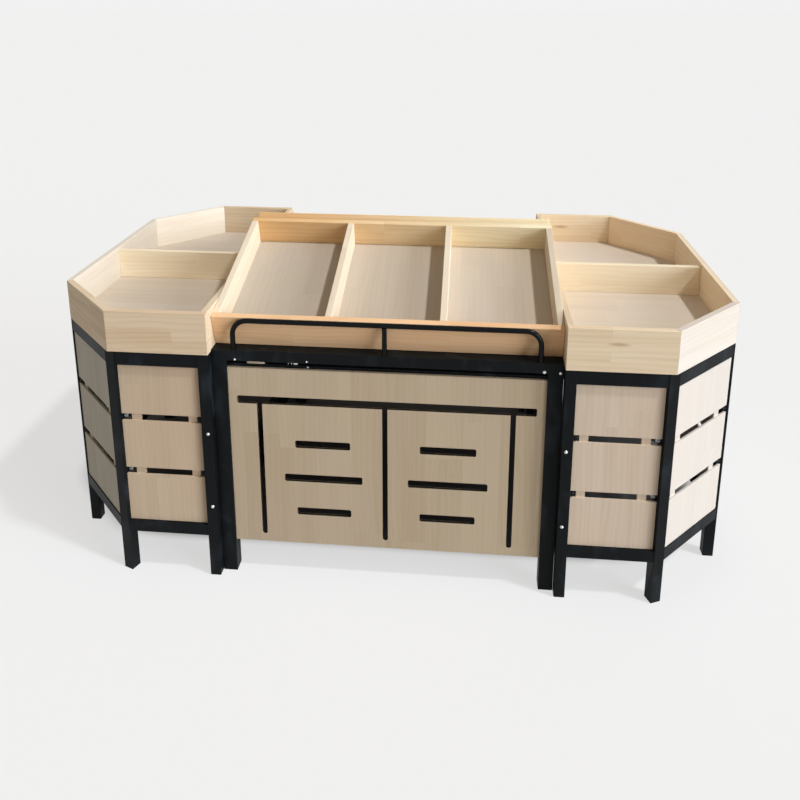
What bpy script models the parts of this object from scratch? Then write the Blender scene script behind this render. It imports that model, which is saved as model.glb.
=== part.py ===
"""Produce display rack: two half-octagon end tables with level trays and a two-sided sloping centre table.

Frame: metres, +Z up, +X to the right of a shopper at the front, front towards -Y.
The origin is on the floor, in the middle of the rack.
"""

import math

import bmesh
import bpy
from mathutils import Vector

# Fits
GAP = 0.0003
MITRE_GAP = 0.00015
MODULE_PLAY = 0.0006

# End tables, plan outline measured from the inner side
END_IN = 0.467
FRONT_LEN = 0.277
CHAMFER = 0.206
HALF_DEPTH = 0.525

# End tables, tube frame
TUBE = 0.030
FRAME_TOP = 0.680
TOP_RAIL_H = 0.038
LOW_RAIL_Z = 0.128
LOW_RAIL_H = 0.034
RAIL_DEPTH = 0.025
RAIL_SET = 0.002
RAIL_DROP = 0.0005
CORNER_TURN = math.radians(22.5)

# End tables, slat panels
SLAT_COUNT = 3
SLAT_GAP = 0.020
SLAT_T = 0.006
SLAT_HEADROOM = 0.004
FRONT_SET = 0.010
CHAMFER_SET = 0.005
SIDE_SET = 0.008
BATTEN_W = 0.024
BATTEN_T = 0.012
BATTEN_BITE = 0.001
BATTEN_NEAR = 0.016
BATTEN_FAR = 0.024
CHAMFER_BATTEN_IN = 0.014
SIDE_BATTEN_IN = 0.060
BATTEN_END = 0.010

# Boards of every tray
BOARD = 0.018
FLOOR_T = 0.015

# Level end trays
TRAY_H = 0.1177
DIVIDER_DROP = 0.010

# Centre table frame
CENTRE_SET = 0.025
LEG = 0.040
CENTRE_RISE = 0.006
CENTRE_RAIL_H = 0.030
BOARD_RAIL_H = 0.030
BOARD_RAIL_DROP = 0.014
TIE_W = 0.030
TIE_H = 0.030
LOW_TIE_Z = 0.130
RIDGE_W = 0.030

# Sloping centre trays
SLOPE = math.radians(17.5)
SLOPE_SET = 0.0015
SLOPE_WALL = 0.0935
RIDGE_GAP = 0.003

# Slotted boards
PANEL_T = 0.009
PANEL_SET = 0.006
PANEL_LOW = 0.0995
PANEL_DROP = 0.022
SLOT_HALF = 0.0115
SLOT_CORNER = 0.005
TOOTH_HALF = 0.0073
COMB_TOP_IN = 0.094
COMB_END_IN = 0.023
COMB_FOOT_IN = 0.024
TOOTH_X = 0.342
SHORT_SLOT = 0.152
MIDDLE_SLOT = 0.217
ROW_DROP = 0.233
ROW_STEP = 0.1045
ARC_STEPS = 8

# Guard rails
GUARD_R = 0.007
GUARD_IN = 0.0195
GUARD_BEND = 0.040
GUARD_RISE = 0.0835
GUARD_POST_R = 0.0067

# Sizes that follow from the ones above
END_WIDTH = FRONT_LEN + CHAMFER
CENTRE_HALF = END_IN - MODULE_PLAY
CENTRE_TOP = FRAME_TOP + CENTRE_RISE
CENTRE_FRONT = HALF_DEPTH - CENTRE_SET
SIDE_HALF = HALF_DEPTH - CHAMFER
TIE_TOP = CENTRE_TOP - RAIL_DROP
SLOPE_Y = CENTRE_FRONT - LEG - SLOPE_SET
SLOPE_Z = TIE_TOP + GAP
SLOPE_LEN = (SLOPE_Y - RIDGE_GAP) / math.cos(SLOPE)
QUARTER = math.pi / 2


def clear_scene():
    """Remove every object, so the file always starts empty."""
    for item in list(bpy.data.objects):
        bpy.data.objects.remove(item, do_unlink=True)


def new_collection(name):
    """Return a new collection linked to the scene."""
    made = bpy.data.collections.new(name)
    bpy.context.scene.collection.children.link(made)
    return made


def make_material(name, colour, roughness, metallic):
    """Return a Principled material with plain values."""
    made = bpy.data.materials.new(name)
    made.use_nodes = True
    shader = made.node_tree.nodes["Principled BSDF"]
    shader.inputs["Base Color"].default_value = (*colour, 1.0)
    shader.inputs["Roughness"].default_value = roughness
    shader.inputs["Metallic"].default_value = metallic
    return made


def add_empty(name, collection, parent=None, location=(0.0, 0.0, 0.0), turn=(0.0, 0.0, 0.0)):
    """Return an empty that places what is parented to it."""
    made = bpy.data.objects.new(name, None)
    made.empty_display_type = "ARROWS"
    made.empty_display_size = 0.1
    made.parent = parent
    made.location = location
    made.rotation_euler = turn
    collection.objects.link(made)
    return made


def add_object(name, data, material, collection, parent):
    """Return an object for a mesh or a curve, with one material and a parent."""
    data.materials.append(material)
    made = bpy.data.objects.new(name, data)
    made.parent = parent
    collection.objects.link(made)
    return made


def add_mesh(name, bm, material, collection, parent):
    """Return an object for a finished bmesh, with its faces pointing out."""
    bmesh.ops.recalc_face_normals(bm, faces=bm.faces[:])
    mesh = bpy.data.meshes.new(name)
    bm.to_mesh(mesh)
    bm.free()
    return add_object(name, mesh, material, collection, parent)


def add_box(name, low, high, material, collection, parent=None):
    """Return a box between two corners, with its origin at its middle."""
    size = Vector(high) - Vector(low)
    bm = bmesh.new()
    bmesh.ops.create_cube(bm, size=1.0)
    bmesh.ops.scale(bm, vec=size, verts=bm.verts[:])
    made = add_mesh(name, bm, material, collection, parent)
    made.location = Vector(low) + size / 2
    return made


def extrude_outline(bm, outline, low, high):
    """Add an outline in X and Y to a bmesh, extruded from low to high along Z."""
    verts = [bm.verts.new((x, y, low)) for x, y in outline]
    face = bm.faces.new(verts)
    grown = bmesh.ops.extrude_face_region(bm, geom=[face])
    raised = [item for item in grown["geom"] if isinstance(item, bmesh.types.BMVert)]
    bmesh.ops.translate(bm, verts=raised, vec=(0.0, 0.0, high - low))


def add_prism(name, outline, low, high, material, collection, parent):
    """Return one extruded outline as an object."""
    bm = bmesh.new()
    extrude_outline(bm, outline, low, high)
    return add_mesh(name, bm, material, collection, parent)


def add_plate(name, loops, thickness, material, collection, parent, location, turn):
    """Return a flat plate: the first loop is its outside and the others are holes through it."""
    curve = bpy.data.curves.new(name, "CURVE")
    curve.dimensions = "2D"
    curve.fill_mode = "BOTH"
    curve.extrude = thickness / 2
    for loop in loops:
        spline = curve.splines.new("POLY")
        spline.points.add(len(loop) - 1)
        for point, (a, b) in zip(spline.points, loop):
            point.co = (a, b, 0.0, 1.0)
        spline.use_cyclic_u = True
        spline.use_smooth = False
    made = add_object(name, curve, material, collection, parent)
    made.location = location
    made.rotation_euler = turn
    return made


def unite(base, cutter):
    """Weld the cutter's volume to the base with an exact Boolean."""
    weld = base.modifiers.new("weld", "BOOLEAN")
    weld.operation = "UNION"
    weld.solver = "EXACT"
    weld.object = cutter
    cutter.hide_render = True
    cutter.display_type = "WIRE"


def rectangle(a0, a1, b0, b1):
    """Return the corner points of a rectangle."""
    return [(a0, b0), (a1, b0), (a1, b1), (a0, b1)]


def mirror_y(outline):
    """Return an outline turned over to the other side of the X axis."""
    return [(x, -y) for x, y in reversed(outline)]


def swap_ends(outline, length):
    """Return an outline turned end for end along X."""
    return [(length - x, y) for x, y in reversed(outline)]


def arc(x, y, radius, start, end):
    """Return points on an arc, ends included, with its angles in degrees."""
    points = []
    for i in range(ARC_STEPS + 1):
        angle = math.radians(start + (end - start) * i / ARC_STEPS)
        points.append((x + radius * math.cos(angle), y + radius * math.sin(angle)))
    return points


def half_octagon():
    """Return an end table's outline, from its inner front corner round to its inner back one."""
    return [
        (0.0, -HALF_DEPTH),
        (FRONT_LEN, -HALF_DEPTH),
        (END_WIDTH, -SIDE_HALF),
        (END_WIDTH, SIDE_HALF),
        (FRONT_LEN, HALF_DEPTH),
        (0.0, HALF_DEPTH),
    ]


def inset(points, distance):
    """Return an anticlockwise outline moved inwards by a distance."""
    lines = []
    for i, point in enumerate(points):
        start = Vector(point)
        along = (Vector(points[(i + 1) % len(points)]) - start).normalized()
        inward = Vector((-along.y, along.x))
        lines.append((start + inward * distance, along))
    moved = []
    for i, (q, e) in enumerate(lines):
        p, d = lines[i - 1]
        cross = d.x * e.y - d.y * e.x
        t = ((q.x - p.x) * e.y - (q.y - p.y) * e.x) / cross
        moved.append((p.x + d.x * t, p.y + d.y * t))
    return moved


def wall_plan(outer, inner, i, start_gap, end_gap):
    """Return the plan of the wall on side i, with each mitred end pulled back by a gap."""
    start, end = Vector(outer[i]), Vector(outer[i + 1])
    start_in, end_in = Vector(inner[i]), Vector(inner[i + 1])
    along = (end - start).normalized()
    return [
        tuple(start + along * start_gap),
        tuple(end - along * end_gap),
        tuple(end_in - along * end_gap),
        tuple(start_in + along * start_gap),
    ]


def build_ladder(name, reach, x, material, parts, module):
    """Build one welded ladder of an end frame: two posts, a top rail and a low rail."""
    low = LOW_RAIL_Z
    outside = [
        (-reach, 0.0),
        (-reach + TUBE, 0.0),
        (-reach + TUBE, low),
        (reach - TUBE, low),
        (reach - TUBE, 0.0),
        (reach, 0.0),
        (reach, FRAME_TOP),
        (-reach, FRAME_TOP),
    ]
    window = rectangle(-reach + TUBE, reach - TUBE, low + LOW_RAIL_H, FRAME_TOP - TOP_RAIL_H)
    add_plate(name, [outside, window], TUBE, material, parts, module, (x + TUBE / 2, 0.0, 0.0),
              (QUARTER, 0.0, QUARTER))


def build_corner(name, mirror, material, parts, cutters, module):
    """Build one corner frame: a turned post with its straight and chamfered rails welded on."""
    corner = Vector((FRONT_LEN, -HALF_DEPTH))
    out = Vector((math.sin(CORNER_TURN), -math.cos(CORNER_TURN)))
    along = Vector((math.cos(CORNER_TURN), math.sin(CORNER_TURN)))
    half = TUBE / 2
    middle = corner - out * (half * math.tan(CORNER_TURN) + half)
    post = [
        tuple(middle + out * (half * a) + along * (half * b))
        for a, b in ((1, -1), (1, 1), (-1, 1), (-1, -1))
    ]
    near, far = RAIL_SET, RAIL_SET + RAIL_DEPTH
    reach = half * 0.9
    straight = rectangle(TUBE + GAP, FRONT_LEN - reach, -HALF_DEPTH + near, -HALF_DEPTH + far)
    slant = math.sqrt(0.5)
    stop = (CHAMFER - GAP) / slant
    chamfer = [
        (corner.x + slant * (t - d), corner.y + slant * (t + d))
        for t, d in ((reach, near), (stop - near, near), (stop - far, far), (reach, far))
    ]
    shape = mirror_y if mirror else list
    base = add_prism(name, shape(post), 0.0, FRAME_TOP, material, parts, module)
    for word, plan in (("straight", straight), ("chamfer", chamfer)):
        bm = bmesh.new()
        extrude_outline(bm, shape(plan), FRAME_TOP - TOP_RAIL_H, FRAME_TOP - RAIL_DROP)
        extrude_outline(bm, shape(plan), LOW_RAIL_Z, LOW_RAIL_Z + LOW_RAIL_H)
        unite(base, add_mesh(f"cut_{name}_{word}", bm, material, cutters, module))


def build_slat_panel(name, plan, battens, back, material, parts, cutters, module, location, turn):
    """Build one slat panel: boards one above the other on two upright battens behind them.

    The plan is in (along, inwards), battens holds each batten's start along the panel, and back is
    the depth of the boards' rear face.
    """
    low = LOW_RAIL_Z + LOW_RAIL_H + GAP
    high = FRAME_TOP - TOP_RAIL_H - SLAT_HEADROOM
    board = (high - low - (SLAT_COUNT - 1) * SLAT_GAP) / SLAT_COUNT
    bm = bmesh.new()
    for i in range(SLAT_COUNT):
        z = low + i * (board + SLAT_GAP)
        extrude_outline(bm, plan, z, z + board)
    base = add_mesh(name, bm, material, parts, module)
    bm = bmesh.new()
    for t in battens:
        outline = rectangle(t, t + BATTEN_W, back - BATTEN_BITE, back + BATTEN_T)
        extrude_outline(bm, outline, low + BATTEN_END, high - BATTEN_END)
    cutter = add_mesh(f"cut_{name}_battens", bm, material, cutters, module)
    for item in (base, cutter):
        item.location = location
        item.rotation_euler = (0.0, 0.0, turn)
    unite(base, cutter)


def build_slat_panels(side, ends, material, parts, cutters, module):
    """Build the five slat panels that close one end table's sides."""
    tan = math.tan(CORNER_TURN)
    post = TUBE / 2 / math.cos(CORNER_TURN)
    fit = GAP / math.cos(CORNER_TURN)

    back = FRONT_SET + SLAT_T
    stop = FRONT_LEN - post - fit
    straight = [
        (TUBE + GAP, FRONT_SET),
        (stop - tan * FRONT_SET, FRONT_SET),
        (stop - tan * back, back),
        (TUBE + GAP, back),
    ]
    straight_battens = (TUBE + BATTEN_NEAR, stop - tan * back - BATTEN_FAR - BATTEN_W)

    length = CHAMFER / math.sqrt(0.5)
    near, far = CHAMFER_SET, CHAMFER_SET + SLAT_T
    start = post + fit
    butt = length - GAP / math.sqrt(0.5)
    chamfer = [(start + tan * near, near), (butt - near, near), (butt - far, far), (start + tan * far, far)]
    chamfer_battens = (start + tan * far + CHAMFER_BATTEN_IN, butt - far - BATTEN_T - CHAMFER_BATTEN_IN - BATTEN_W)

    side_len = 2 * SIDE_HALF
    side_back = SIDE_SET + SLAT_T
    level = rectangle(TUBE + GAP, side_len - TUBE - GAP, SIDE_SET, side_back)
    level_battens = (TUBE + SIDE_BATTEN_IN, side_len - TUBE - SIDE_BATTEN_IN - BATTEN_W)

    panels = [
        (ends[0], straight, straight_battens, back),
        (f"{ends[0]}_chamfer", chamfer, chamfer_battens, far),
        ("side", level, level_battens, side_back),
        (f"{ends[1]}_chamfer", swap_ends(chamfer, length),
         [length - t - BATTEN_W for t in chamfer_battens], far),
        (ends[1], swap_ends(straight, FRONT_LEN), [FRONT_LEN - t - BATTEN_W for t in straight_battens], back),
    ]
    for i, ((x, y), (word, plan, battens, depth)) in enumerate(zip(half_octagon(), panels)):
        build_slat_panel(f"slats_{side}_{word}", plan, battens, depth, material, parts, cutters, module,
                         (x, y, 0.0), i * QUARTER / 2)


def build_end_tray(side, ends, material, parts, module):
    """Build one level tray of separate boards, hung on an empty at its seat on the end frame."""
    lift = add_empty(f"lift_{side}", parts, module, (0.0, 0.0, FRAME_TOP + GAP))
    outer = half_octagon()
    inner = inset(outer, BOARD)
    square = [(0.0, inner[0][1])] + inner[1:5] + [(0.0, inner[5][1])]
    words = (f"{ends[0]}_wall", f"{ends[0]}_chamfer_wall", "side_wall", f"{ends[1]}_chamfer_wall",
             f"{ends[1]}_wall")
    for i, word in enumerate(words):
        start = MITRE_GAP if i > 0 else 0.0
        end = MITRE_GAP if i < 4 else 0.0
        plan = wall_plan(outer, square, i, start, end)
        add_prism(f"tray_{side}_{word}", plan, 0.0, TRAY_H, material, parts, lift)
    reach = HALF_DEPTH - BOARD - GAP
    add_box(f"tray_{side}_inner_wall", (0.0, -reach, 0.0), (BOARD, reach, TRAY_H), material, parts, lift)
    floor = inset(outer, BOARD + GAP)
    add_prism(f"tray_{side}_floor", floor, 0.0, FLOOR_T, material, parts, lift)
    add_box(f"tray_{side}_divider", (BOARD + GAP, -BOARD / 2, FLOOR_T + GAP),
            (END_WIDTH - BOARD - GAP, BOARD / 2, TRAY_H - DIVIDER_DROP), material, parts, lift)


def build_centre_frame(material, parts):
    """Build what joins the centre table's two portals: four ties and the ridge frame."""
    reach = CENTRE_FRONT - LEG - GAP
    inner = CENTRE_HALF - LEG / 2 - TIE_W / 2
    outer = inner + TIE_W
    for word, x0, x1 in (("left", -outer, -inner), ("right", inner, outer)):
        add_box(f"frame_centre_{word}_top_tie", (x0, -reach, TIE_TOP - TIE_H), (x1, reach, TIE_TOP),
                material, parts)
        add_box(f"frame_centre_{word}_low_tie", (x0, -reach, LOW_TIE_Z), (x1, reach, LOW_TIE_Z + TIE_H),
                material, parts)
    seat = SLOPE_Z + (SLOPE_Y - RIDGE_W / 2) * math.tan(SLOPE) - GAP / math.cos(SLOPE)
    stand = TIE_TOP + GAP
    ridge = [
        (-outer, stand),
        (-inner, stand),
        (-inner, seat - RIDGE_W),
        (inner, seat - RIDGE_W),
        (inner, stand),
        (outer, stand),
        (outer, seat),
        (-outer, seat),
    ]
    add_plate("frame_centre_ridge", [ridge], RIDGE_W, material, parts, None, (0.0, 0.0, 0.0),
              (QUARTER, 0.0, 0.0))


def build_portal(word, material, parts, cutters, module):
    """Build one portal of the centre table: two legs, a top rail and the rail behind the slotted board."""
    foot = CENTRE_HALF - LEG
    under = CENTRE_TOP - CENTRE_RAIL_H
    outline = [
        (-CENTRE_HALF, 0.0),
        (-foot, 0.0),
        (-foot, under),
        (foot, under),
        (foot, 0.0),
        (CENTRE_HALF, 0.0),
        (CENTRE_HALF, CENTRE_TOP),
        (-CENTRE_HALF, CENTRE_TOP),
    ]
    bm = bmesh.new()
    extrude_outline(bm, outline, -LEG / 2, LEG / 2)
    base = add_mesh(f"frame_centre_{word}_portal", bm, material, parts, module)
    high = under - BOARD_RAIL_DROP
    rail = rectangle(-foot - BATTEN_BITE, foot + BATTEN_BITE, high - BOARD_RAIL_H, high)
    bm = bmesh.new()
    extrude_outline(bm, rail, RAIL_SET - LEG / 2, LEG / 2 - PANEL_SET - PANEL_T - GAP)
    cutter = add_mesh(f"cut_{word}_board_rail", bm, material, cutters, module)
    for item in (base, cutter):
        item.location = (0.0, -CENTRE_FRONT + LEG / 2, 0.0)
        item.rotation_euler = (QUARTER, 0.0, 0.0)
    unite(base, cutter)


def comb_slot(half, low, high):
    """Return the outline of the long level slot with three slots hanging from it."""
    h, c, r = SLOT_HALF, SLOT_CORNER, TOOTH_HALF
    level = high - COMB_TOP_IN
    end = half - COMB_END_IN - c
    foot = low + COMB_FOOT_IN + r
    points = arc(-end, level + h - c, c, 90, 180) + arc(-end, level - h + c, c, 180, 270)
    for x in (-TOOTH_X, 0.0, TOOTH_X):
        points.append((x - r, level - h))
        points += arc(x, foot, r, 180, 360)
        points.append((x + r, level - h))
    return points + arc(end, level - h + c, c, -90, 0) + arc(end, level + h - c, c, 0, 90)


def level_slot(x, z, length):
    """Return the outline of one level slot with rounded corners."""
    h, c = SLOT_HALF, SLOT_CORNER
    end = length / 2 - c
    return (arc(x - end, z + h - c, c, 90, 180) + arc(x - end, z - h + c, c, 180, 270)
            + arc(x + end, z - h + c, c, -90, 0) + arc(x + end, z + h - c, c, 0, 90))


def build_slotted_board(word, material, parts, module):
    """Build one upright board between a portal's legs, with its slot pattern cut through."""
    half = CENTRE_HALF - LEG - GAP
    high = CENTRE_TOP - CENTRE_RAIL_H - PANEL_DROP
    loops = [rectangle(-half, half, PANEL_LOW, high), comb_slot(half, PANEL_LOW, high)]
    middle = high - COMB_TOP_IN - ROW_DROP
    for sign in (-1, 1):
        x = sign * TOOTH_X / 2
        loops.append(level_slot(x, middle + ROW_STEP, SHORT_SLOT))
        loops.append(level_slot(x, middle, MIDDLE_SLOT))
        loops.append(level_slot(x, middle - ROW_STEP, SHORT_SLOT))
    add_plate(f"board_{word}", loops, PANEL_T, material, parts, module,
              (0.0, -CENTRE_FRONT + PANEL_SET + PANEL_T / 2, 0.0), (QUARTER, 0.0, 0.0))


def tube_bmesh(name, points, radius):
    """Return a bmesh of a round tube with closed ends along a line of points."""
    curve = bpy.data.curves.new(name, "CURVE")
    curve.dimensions = "3D"
    curve.bevel_depth = radius
    curve.bevel_resolution = 2
    curve.use_fill_caps = True
    spline = curve.splines.new("POLY")
    spline.points.add(len(points) - 1)
    for point, co in zip(spline.points, points):
        point.co = (*co, 1.0)
    holder = bpy.data.objects.new(name, curve)
    bpy.context.scene.collection.objects.link(holder)
    graph = bpy.context.evaluated_depsgraph_get()
    mesh = bpy.data.meshes.new_from_object(holder.evaluated_get(graph))
    bpy.data.objects.remove(holder, do_unlink=True)
    bm = bmesh.new()
    bm.from_mesh(mesh)
    bmesh.ops.remove_doubles(bm, verts=bm.verts[:], dist=0.00001)
    return bm


def build_guard(word, material, parts, cutters, module):
    """Build one guard rail: a bent round tube with an upright welded under its middle."""
    y = -CENTRE_FRONT + GUARD_R
    foot = CENTRE_TOP + GAP
    top = CENTRE_TOP + GUARD_RISE
    half = CENTRE_HALF - LEG - GUARD_IN
    line = [(-half, foot)]
    line += arc(-half + GUARD_BEND, top - GUARD_BEND, GUARD_BEND, 180, 90)
    line += arc(half - GUARD_BEND, top - GUARD_BEND, GUARD_BEND, 90, 0)
    line.append((half, foot))
    name = f"guard_{word}"
    rail = tube_bmesh(name, [(x, y, z) for x, z in line], GUARD_R)
    base = add_mesh(name, rail, material, parts, module)
    post = tube_bmesh(f"cut_{name}", [(0.0, y, foot), (0.0, y, top)], GUARD_POST_R)
    unite(base, add_mesh(f"cut_{name}", post, material, cutters, module))
    base.data.shade_smooth()
    base.data.set_sharp_from_angle(angle=math.radians(50))


def build_slope_tray(word, sides, material, parts, module):
    """Build one sloping tray of separate boards, level in the frame of an empty turned to its slope."""
    lift = add_empty(f"lift_{word}", parts, module, (0.0, -SLOPE_Y, SLOPE_Z), (SLOPE, 0.0, 0.0))
    half = CENTRE_HALF
    inside = half - BOARD
    first, last = BOARD + GAP, SLOPE_LEN - BOARD - GAP
    bay = (2 * inside - 2 * BOARD) / 3
    middle = (bay + BOARD) / 2
    boards = [
        ("low_wall", (-half, 0.0, 0.0), (half, BOARD, SLOPE_WALL)),
        ("ridge_wall", (-half, SLOPE_LEN - BOARD, 0.0), (half, SLOPE_LEN, SLOPE_WALL)),
        (f"{sides[0]}_wall", (-half, first, 0.0), (-inside, last, SLOPE_WALL)),
        (f"{sides[1]}_wall", (inside, first, 0.0), (half, last, SLOPE_WALL)),
        ("floor", (-inside + GAP, first, 0.0), (inside - GAP, last, FLOOR_T)),
    ]
    for side, x in zip(sides, (-middle, middle)):
        boards.append((f"{side}_divider", (x - BOARD / 2, first, FLOOR_T + GAP),
                       (x + BOARD / 2, last, SLOPE_WALL)))
    for piece, low, high in boards:
        add_box(f"tray_{word}_{piece}", low, high, material, parts, lift)


def main():
    """Build the whole rack."""
    clear_scene()
    parts = new_collection("produce_display_rack")
    cutters = new_collection("cutters")
    cutters.hide_render = True
    steel = make_material("black_powder_coat", (0.012, 0.013, 0.013), 0.45, 0.0)
    pale = make_material("pale_board", (0.62, 0.47, 0.32), 0.55, 0.0)
    slat = make_material("slat_wood", (0.55, 0.40, 0.27), 0.60, 0.0)

    right_end = ("right", END_IN, 0.0, ("front", "back"))
    left_end = ("left", -END_IN, math.pi, ("back", "front"))
    for side, x, turn, ends in (right_end, left_end):
        module = add_empty(f"end_{side}", parts, None, (x, 0.0, 0.0), (0.0, 0.0, turn))
        build_ladder(f"frame_{side}_inner_ladder", HALF_DEPTH, 0.0, steel, parts, module)
        build_ladder(f"frame_{side}_outer_ladder", SIDE_HALF, END_WIDTH - TUBE, steel, parts, module)
        for word, mirror in zip(ends, (False, True)):
            build_corner(f"frame_{side}_{word}_corner", mirror, steel, parts, cutters, module)
        build_slat_panels(side, ends, slat, parts, cutters, module)
        build_end_tray(side, ends, pale, parts, module)

    build_centre_frame(steel, parts)
    for word, turn, sides in (("front", 0.0, ("left", "right")), ("back", math.pi, ("right", "left"))):
        module = add_empty(f"centre_{word}", parts, None, (0.0, 0.0, 0.0), (0.0, 0.0, turn))
        build_portal(word, steel, parts, cutters, module)
        build_slotted_board(word, slat, parts, module)
        build_guard(word, steel, parts, cutters, module)
        build_slope_tray(word, sides, pale, parts, module)


main()
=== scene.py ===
"""Dresses the produce display rack: timber finishes, coated steel, fittings, floor, lamps and camera."""

import logging
import math
from dataclasses import dataclass, field, replace
from enum import Enum
from typing import Callable, Iterable, Optional, Sequence

import bmesh
import bpy
from mathutils import Matrix, Quaternion, Vector


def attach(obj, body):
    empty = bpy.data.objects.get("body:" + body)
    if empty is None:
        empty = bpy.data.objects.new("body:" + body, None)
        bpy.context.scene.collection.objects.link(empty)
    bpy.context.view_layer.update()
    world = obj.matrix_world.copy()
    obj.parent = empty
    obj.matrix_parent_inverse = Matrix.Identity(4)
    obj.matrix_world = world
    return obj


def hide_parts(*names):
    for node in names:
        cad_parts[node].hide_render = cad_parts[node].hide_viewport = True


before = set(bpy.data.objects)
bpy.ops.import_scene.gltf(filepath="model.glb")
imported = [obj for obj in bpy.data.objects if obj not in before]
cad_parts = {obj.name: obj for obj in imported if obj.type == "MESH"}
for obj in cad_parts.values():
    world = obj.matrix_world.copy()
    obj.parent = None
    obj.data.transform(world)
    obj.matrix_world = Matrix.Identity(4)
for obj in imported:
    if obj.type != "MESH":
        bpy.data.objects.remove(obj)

LOG = logging.getLogger("produce_rack")
RACK = "rack"
Colour = tuple[float, float, float]
Point = tuple[float, float, float]


class Side(Enum):
    """The two end tables, and the way each points along X."""

    LEFT = -1
    RIGHT = 1

    @property
    def word(self) -> str:
        """The side's name as the nodes spell it."""
        return self.name.lower()


class Face(Enum):
    """The two long faces of the centre table, and the way each points along Y."""

    FRONT = -1
    BACK = 1

    @property
    def word(self) -> str:
        """The face's name as the nodes spell it."""
        return self.name.lower()


class Slot(Enum):
    """Two material slot names; nothing in this script uses them."""

    COAT = "black_powder_coat"
    SLAT = "slat_wood"


# Node trees


@dataclass
class Weaver:
    """A short hand for laying nodes in one tree."""

    tree: bpy.types.NodeTree

    def add(self, kind: str, **settings: object) -> bpy.types.Node:
        """Adds a node.

        Args:
            kind: the node's type name without its ShaderNode prefix.
            settings: properties to set on it.

        Returns:
            The new node.
        """
        node = self.tree.nodes.new("ShaderNode" + kind)
        for name, value in settings.items():
            setattr(node, name, value)
        return node

    def join(self, source: bpy.types.NodeSocket, target: bpy.types.NodeSocket) -> None:
        """Links an output to an input."""
        self.tree.links.new(source, target)

    def feed(self, target: bpy.types.NodeSocket, value: object) -> None:
        """Links a socket to an input, or sets the input to a plain value.

        Args:
            target: the input.
            value: an output socket, a number or a sequence of numbers.
        """
        if isinstance(value, bpy.types.NodeSocket):
            self.join(value, target)
        elif isinstance(value, (int, float)):
            target.default_value = value
        else:
            numbers = tuple(value)
            opaque = target.type == "RGBA" and len(numbers) == 3
            target.default_value = numbers + (1.0,) if opaque else numbers

    def math(self, work: str, *values: object) -> bpy.types.NodeSocket:
        """Adds a Math node.

        Args:
            work: the operation, such as MULTIPLY.
            values: its inputs in order.

        Returns:
            The result's socket.
        """
        node = self.add("Math", operation=work)
        for target, value in zip(node.inputs, values):
            self.feed(target, value)
        return node.outputs[0]

    def stretch(self, vector: object, scale: Point) -> bpy.types.NodeSocket:
        """Multiplies a vector part by part.

        Args:
            vector: the vector's socket.
            scale: the three factors.

        Returns:
            The result's socket.
        """
        node = self.add("VectorMath", operation="MULTIPLY")
        self.feed(node.inputs[0], vector)
        self.feed(node.inputs[1], scale)
        return node.outputs[0]

    def ramp(
        self, value: object, low: float, high: float, start: float = 0.0, end: float = 1.0,
    ) -> bpy.types.NodeSocket:
        """Maps a value smoothly from one range to another and clamps it.

        Args:
            value: the socket to map.
            low: the value that gives start.
            high: the value that gives end.
            start: the result at low.
            end: the result at high.

        Returns:
            The result's socket.
        """
        node = self.add("MapRange", interpolation_type="SMOOTHSTEP")
        for target, part in zip(node.inputs, (value, low, high, start, end)):
            self.feed(target, part)
        return node.outputs[0]

    def noise(
        self, vector: object, scale: float, detail: float = 2.0, rough: float = 0.5, twist: float = 0.0,
    ) -> bpy.types.NodeSocket:
        """Adds a three-dimensional noise.

        Args:
            vector: where it is read.
            scale: cells in a metre of the vector.
            detail: its octaves.
            rough: how strongly the finer octaves show.
            twist: its distortion.

        Returns:
            The noise's value socket.
        """
        node = self.add("TexNoise", noise_dimensions="3D")
        self.feed(node.inputs["Vector"], vector)
        look = {"Scale": scale, "Detail": detail, "Roughness": rough, "Distortion": twist}
        for name, value in look.items():
            node.inputs[name].default_value = value
        return node.outputs[0]

    def mix(self, share: object, first: object, second: object, blend: str = "MIX") -> bpy.types.NodeSocket:
        """Mixes two colours.

        Args:
            share: how much of the second shows.
            first: the first colour.
            second: the second colour.
            blend: the way they mix.

        Returns:
            The mixed colour's socket.
        """
        node = self.add("Mix", data_type="RGBA", blend_type=blend)
        for index, value in ((0, share), (6, first), (7, second)):
            self.feed(node.inputs[index], value)
        return node.outputs[2]


@dataclass(frozen=True)
class Effect:
    """A shared node group, built once and placed in many materials."""

    name: str
    inputs: tuple[tuple[str, str], ...]
    outputs: tuple[tuple[str, str], ...]
    fill: Callable[[Weaver, dict, dict], None]

    def group(self) -> bpy.types.NodeTree:
        """Finds the group, or builds it.

        Returns:
            The group's node tree.
        """
        found = bpy.data.node_groups.get(self.name)
        if found:
            return found
        tree = bpy.data.node_groups.new(self.name, "ShaderNodeTree")
        for way, sockets in (("INPUT", self.inputs), ("OUTPUT", self.outputs)):
            for name, kind in sockets:
                tree.interface.new_socket(name, in_out=way, socket_type="NodeSocket" + kind)
        given, made = tree.nodes.new("NodeGroupInput"), tree.nodes.new("NodeGroupOutput")
        self.fill(
            Weaver(tree),
            {name: given.outputs[name] for name, _ in self.inputs},
            {name: made.inputs[name] for name, _ in self.outputs},
        )
        return tree

    def place(self, weaver: Weaver, **values: object) -> bpy.types.Node:
        """Places the group in a material.

        Args:
            weaver: the material's weaver.
            values: the inputs, with spaces in names as underscores.

        Returns:
            The group's node.
        """
        node = weaver.add("Group", node_tree=self.group())
        for name, value in values.items():
            weaver.feed(node.inputs[name.replace("_", " ")], value)
        return node


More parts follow.
